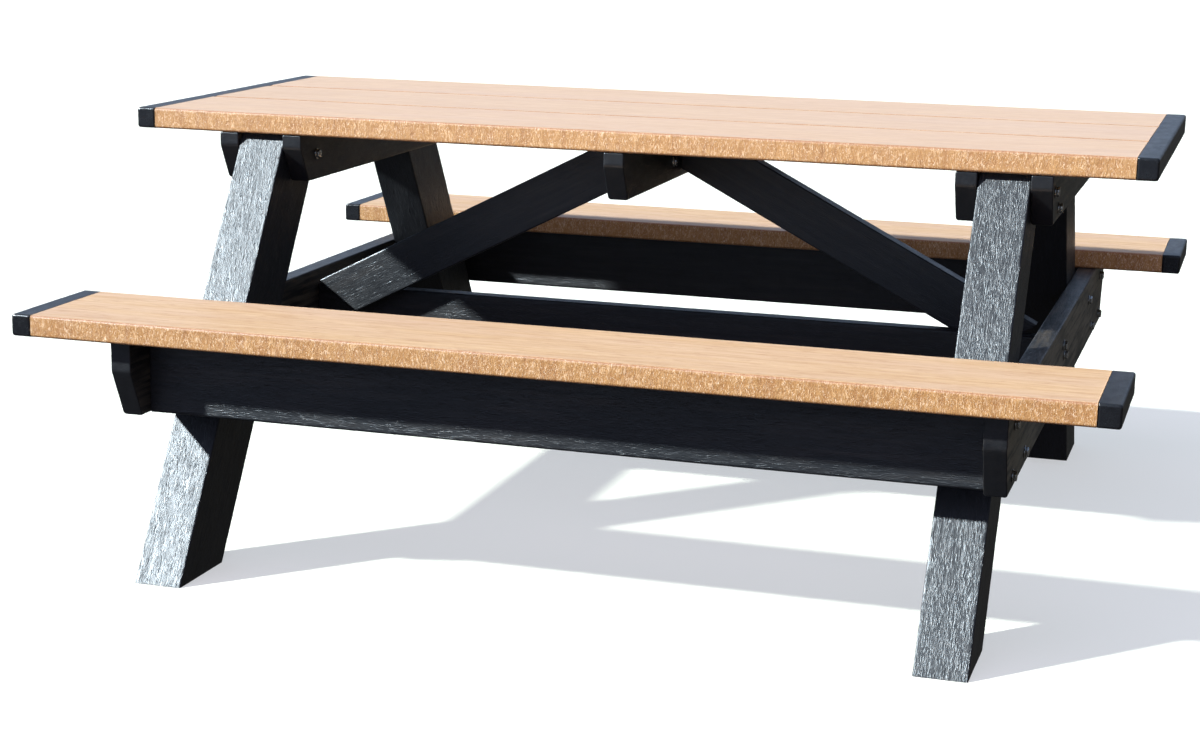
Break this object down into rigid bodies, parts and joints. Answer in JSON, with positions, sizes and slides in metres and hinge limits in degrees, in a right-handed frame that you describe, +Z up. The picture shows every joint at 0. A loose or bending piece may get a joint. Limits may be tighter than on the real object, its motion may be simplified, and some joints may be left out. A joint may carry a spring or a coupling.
{
  "type": "picnic table",
  "caption": "Picnic table of recycled-plastic lumber: plank top and two plank seats on splayed A-frame ends, with aprons, a centre stretcher and diagonal braces.",
  "frame": {"origin": "on the ground under the table's centre", "axes": "+X along the table to its right end, +Y away from the front seat, +Z up"},
  "size_m": [1.829, 1.654, 0.765],
  "materials": {
    "tan_lumber": "satin cedar-coloured plastic lumber with fine lengthwise grain",
    "black_lumber": "satin black plastic lumber with wrinkled leathery skin",
    "stainless": "plain stainless steel fasteners"
  },
  "bodies": {
    "root": {"top_plank_front": "tan_lumber", "top_plank_middle": "tan_lumber", "top_plank_rear": "tan_lumber", "seat_plank_front": "tan_lumber", "seat_plank_rear": "tan_lumber", "top_trim_left": "black_lumber", "top_trim_right": "black_lumber", "seat_trim_front_left": "black_lumber", "seat_trim_front_right": "black_lumber", "seat_trim_rear_left": "black_lumber", "seat_trim_rear_right": "black_lumber", "leg_left_front": "black_lumber", "leg_left_rear": "black_lumber", "leg_right_front": "black_lumber", "leg_right_rear": "black_lumber", "top_cleat_left_outer": "black_lumber", "top_cleat_left_inner": "black_lumber", "top_cleat_centre": "black_lumber", "top_cleat_right_inner": "black_lumber", "top_cleat_right_outer": "black_lumber", "seat_support_left": "black_lumber", "seat_support_right": "black_lumber", "apron_front": "black_lumber", "apron_rear": "black_lumber", "centre_stretcher": "black_lumber", "brace_left": "black_lumber", "brace_right": "black_lumber", "leg_top_outer_lag_screws": "stainless", "leg_top_inner_lag_screws": "stainless", "seat_support_lag_screws": "stainless", "apron_lag_screws": "stainless", "stretcher_lag_screws": "stainless", "brace_top_lag_screws": "stainless", "brace_foot_lag_screws": "stainless", "lag_washers": "stainless", "top_plank_screws": "stainless", "seat_plank_screws": "stainless", "trim_dowels": "stainless"}
  },
  "joints": []
}
